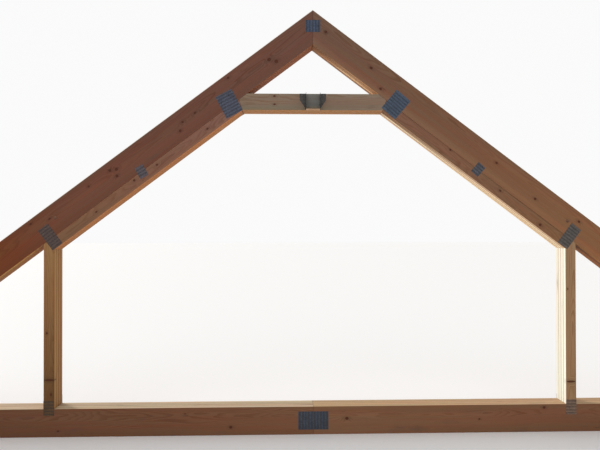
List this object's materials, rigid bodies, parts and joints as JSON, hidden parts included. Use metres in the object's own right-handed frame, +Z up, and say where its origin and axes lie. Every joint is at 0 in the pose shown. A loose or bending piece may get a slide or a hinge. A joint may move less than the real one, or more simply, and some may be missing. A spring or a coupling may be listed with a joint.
{
  "type": "attic roof truss",
  "caption": "Room-in-attic timber roof truss of planed boards in four plies, joined by punched steel nail plates, with a beam hanger on its collar tie.",
  "frame": {"origin": "On the floor, under the middle of the overall box: halfway along the span, and halfway from the front of the beam hanger to the back of the last nail plates. The four plies themselves are centred 37.5 mm behind it.", "axes": "+X along the span to the right seen from the front, +Y from the front face (the one with the beam hanger) to the back, +Z up to the ridge"},
  "size_m": [8.7636, 0.2372, 3.5864],
  "materials": {
    "chord_lumber": "planed softwood, reddish brown",
    "light_lumber": "planed softwood, tan",
    "collar_lumber": "planed softwood, grey tan",
    "nail_plate": "galvanised, punched",
    "hanger_steel": "galvanised, folded"
  },
  "bodies": {
    "root": {"top_chord_left_1": "chord_lumber", "bottom_chord_left_1": "chord_lumber", "lower_chord_left_1": "light_lumber", "knee_post_left_1": "light_lumber", "top_chord_right_1": "chord_lumber", "bottom_chord_right_1": "chord_lumber", "lower_chord_right_1": "light_lumber", "knee_post_right_1": "light_lumber", "collar_tie_1": "collar_lumber", "top_chord_left_2": "chord_lumber", "bottom_chord_left_2": "chord_lumber", "lower_chord_left_2": "light_lumber", "knee_post_left_2": "light_lumber", "top_chord_right_2": "chord_lumber", "bottom_chord_right_2": "chord_lumber", "lower_chord_right_2": "light_lumber", "knee_post_right_2": "light_lumber", "collar_tie_2": "collar_lumber", "top_chord_left_3": "chord_lumber", "bottom_chord_left_3": "chord_lumber", "lower_chord_left_3": "light_lumber", "knee_post_left_3": "light_lumber", "top_chord_right_3": "chord_lumber", "bottom_chord_right_3": "chord_lumber", "lower_chord_right_3": "light_lumber", "knee_post_right_3": "light_lumber", "collar_tie_3": "collar_lumber", "top_chord_left_4": "chord_lumber", "bottom_chord_left_4": "chord_lumber", "lower_chord_left_4": "light_lumber", "knee_post_left_4": "light_lumber", "top_chord_right_4": "chord_lumber", "bottom_chord_right_4": "chord_lumber", "lower_chord_right_4": "light_lumber", "knee_post_right_4": "light_lumber", "collar_tie_4": "collar_lumber", "peak_plates": "nail_plate", "splice_plates": "nail_plate", "collar_plates_left": "nail_plate", "collar_plates_right": "nail_plate", "stitch_plates_left": "nail_plate", "stitch_plates_right": "nail_plate", "knee_plates_left": "nail_plate", "knee_plates_right": "nail_plate", "base_plates_left": "nail_plate", "base_plates_right": "nail_plate", "heel_plates_left": "nail_plate", "heel_plates_right": "nail_plate", "beam_hanger": "hanger_steel"}
  },
  "joints": []
}
